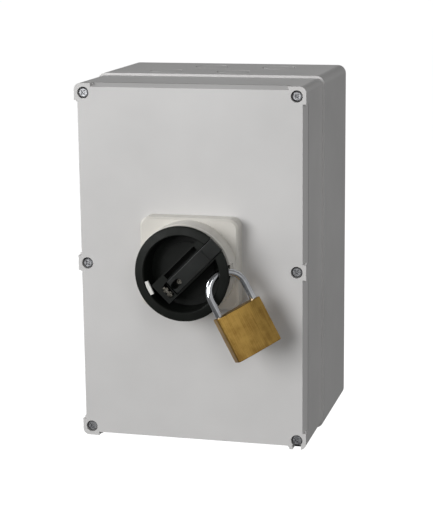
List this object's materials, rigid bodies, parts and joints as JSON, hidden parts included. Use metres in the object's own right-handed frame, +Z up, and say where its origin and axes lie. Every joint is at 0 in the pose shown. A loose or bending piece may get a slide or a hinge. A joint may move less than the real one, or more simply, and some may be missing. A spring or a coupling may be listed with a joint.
{
  "type": "fused disconnect switch",
  "caption": "Wall-mounted grey plastic enclosure with screwed lid, rotary disconnect handle held by a brass padlock, and fuses inside.",
  "frame": {"origin": "centre of the wall fixing holes on the back face", "axes": "+Z up, +X right, the front panel and handle face -Y"},
  "size_m": [0.204, 0.2233, 0.314],
  "materials": {
    "enclosure_grey": "moulded light grey thermoplastic, fine satin texture",
    "escutcheon_grey": "moulded pale grey thermoplastic",
    "handle_black": "moulded black thermoplastic, satin",
    "slide_black": "moulded dark grey thermoplastic",
    "index_white": "white insert",
    "zinc_steel": "zinc plated steel",
    "spring_steel": "bright spring steel",
    "padlock_brass": "brushed solid brass",
    "padlock_steel": "chromed hardened steel",
    "seal_rubber": "foamed seal",
    "insert_brass": "turned brass",
    "plate_steel": "galvanised steel sheet",
    "deck_plastic": "moulded thermoset",
    "rotor_plastic": "moulded polyamide",
    "contact_copper": "copper strip",
    "fuse_ceramic": "glazed ceramic"
  },
  "bodies": {
    "base": {"base_shell": "enclosure_grey", "lid_gasket": "seal_rubber", "screw_inserts": "insert_brass", "mounting_plate": "plate_steel", "plate_screws": "zinc_steel", "rear_deck": "deck_plastic", "middle_deck": "deck_plastic", "front_deck": "deck_plastic", "deck_cover": "deck_plastic", "tie_bolts": "zinc_steel", "fixed_contacts": "contact_copper", "terminal_screws": "zinc_steel", "fuse_base": "deck_plastic", "fuse_clips": "contact_copper", "hinge_pins": "zinc_steel", "link_bars": "contact_copper", "earth_bar": "insert_brass", "earth_screws": "zinc_steel"},
    "rotor": {"switch_shaft": "zinc_steel", "rotors": "rotor_plastic", "contact_blades": "contact_copper"},
    "lid": {"lid_shell": "enclosure_grey", "lid_screws": "zinc_steel", "screw_washers": "seal_rubber", "escutcheon": "escutcheon_grey", "escutcheon_seal": "seal_rubber", "escutcheon_screws": "zinc_steel"},
    "handle": {"handle_bowl": "handle_black", "index_mark": "index_white", "slide_screw": "zinc_steel", "latch_clip": "spring_steel", "hub_clip": "spring_steel", "shaft_socket": "zinc_steel"},
    "lock_slide": {"lock_slide": "slide_black"},
    "shackle": {"padlock_shackle": "padlock_steel"},
    "padlock": {"padlock_body": "padlock_brass"},
    "key_plug": {"padlock_plug": "insert_brass"},
    "carrier_left": {"fuse_carrier_left": "deck_plastic", "fuse_link_left": "fuse_ceramic", "fuse_caps_left": "zinc_steel"},
    "carrier_middle": {"fuse_carrier_middle": "deck_plastic", "fuse_link_middle": "fuse_ceramic", "fuse_caps_middle": "zinc_steel"},
    "carrier_right": {"fuse_carrier_right": "deck_plastic", "fuse_link_right": "fuse_ceramic", "fuse_caps_right": "zinc_steel"}
  },
  "joints": [
    {"name": "lid_removal", "type": "slide", "parent": "base", "child": "lid", "axis": [0, -1, 0], "range_m": [0, 0.12]},
    {"name": "handle_turn", "type": "hinge", "parent": "lid", "child": "handle", "pos_m": [0.003, -0.19, 0.003], "axis": [0, 1, 0], "range_deg": [0, 90]},
    {"name": "rotor_turn", "type": "hinge", "parent": "base", "child": "rotor", "pos_m": [0.003, -0.1, 0.003], "axis": [0, 1, 0], "range_deg": [0, 90]},
    {"name": "lock_slide_travel", "type": "slide", "parent": "handle", "child": "lock_slide", "axis": [0.7071, 0, 0.7071], "range_m": [0, 0.0035]},
    {"name": "padlock_swing", "type": "hinge", "parent": "handle", "child": "shackle", "pos_m": [0.04154, -0.206, -0.01106], "axis": [-0.5261, 0.8101, -0.2588], "range_deg": [-10, 8]},
    {"name": "padlock_opening", "type": "slide", "parent": "shackle", "child": "padlock", "axis": [0.4575, 0.013, -0.8891], "range_m": [0, 0.0095]},
    {"name": "key_turn", "type": "hinge", "parent": "padlock", "child": "key_plug", "pos_m": [0.06212, -0.20541, -0.05107], "axis": [0.4575, 0.013, -0.8891], "range_deg": [0, 90]},
    {"name": "fuse_left_tilt", "type": "hinge", "parent": "base", "child": "carrier_left", "pos_m": [-0.05, -0.048, -0.1185], "axis": [1, 0, 0], "range_deg": [0, 60]},
    {"name": "fuse_middle_tilt", "type": "hinge", "parent": "base", "child": "carrier_middle", "pos_m": [0, -0.048, -0.1185], "axis": [1, 0, 0], "range_deg": [0, 60]},
    {"name": "fuse_right_tilt", "type": "hinge", "parent": "base", "child": "carrier_right", "pos_m": [0.05, -0.048, -0.1185], "axis": [1, 0, 0], "range_deg": [0, 60]}
  ],
  "couplings": [
    {"joint": "rotor_turn", "follows": "handle_turn", "ratio": 1}
  ]
}
